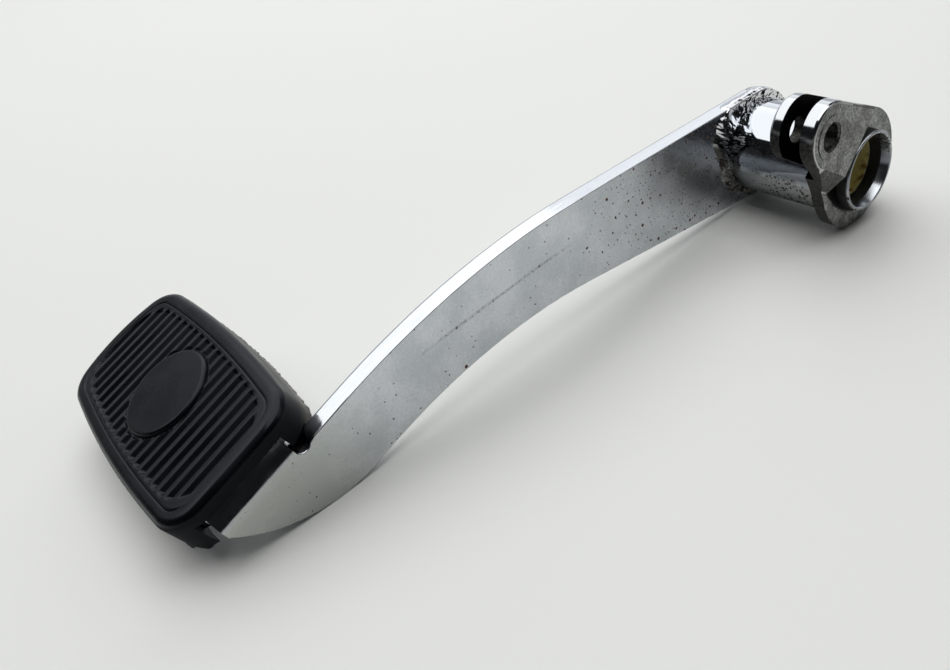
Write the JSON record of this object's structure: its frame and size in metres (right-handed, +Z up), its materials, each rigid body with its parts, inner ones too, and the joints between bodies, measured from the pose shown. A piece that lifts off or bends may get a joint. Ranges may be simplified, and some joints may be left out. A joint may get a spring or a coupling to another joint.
{
  "type": "brake pedal",
  "caption": "Motorbike rear brake pedal: chromed plate arm with a ribbed rubber foot pad, a bushed pivot tube and a forked lever for the brake rod.",
  "frame": {"origin": "on the pivot axis, where it meets the arm's inner face", "axes": "+Y along the pivot tube towards its free end and the fork lever, +X from the pivot towards the foot pad, +Z up as the pedal lies on a table"},
  "size_m": [0.2417, 0.1344, 0.0514],
  "materials": {
    "chrome_plate": "chrome plate, hazy, with rust pits",
    "chrome_tube": "bright chrome plate over turned tube",
    "chrome_weld": "plated weld bead, pitted and dirty",
    "forged_steel": "plated forging with a dull machined face",
    "bronze": "sintered bronze",
    "rubber": "moulded black rubber, satin"
  },
  "bodies": {
    "root": {"pedal_arm": "chrome_plate", "pivot_tube": "chrome_tube", "arm_weld": "chrome_weld", "fork_lever": "forged_steel", "inner_bush": "bronze", "outer_bush": "bronze", "pad_rubber": "rubber"}
  },
  "joints": []
}
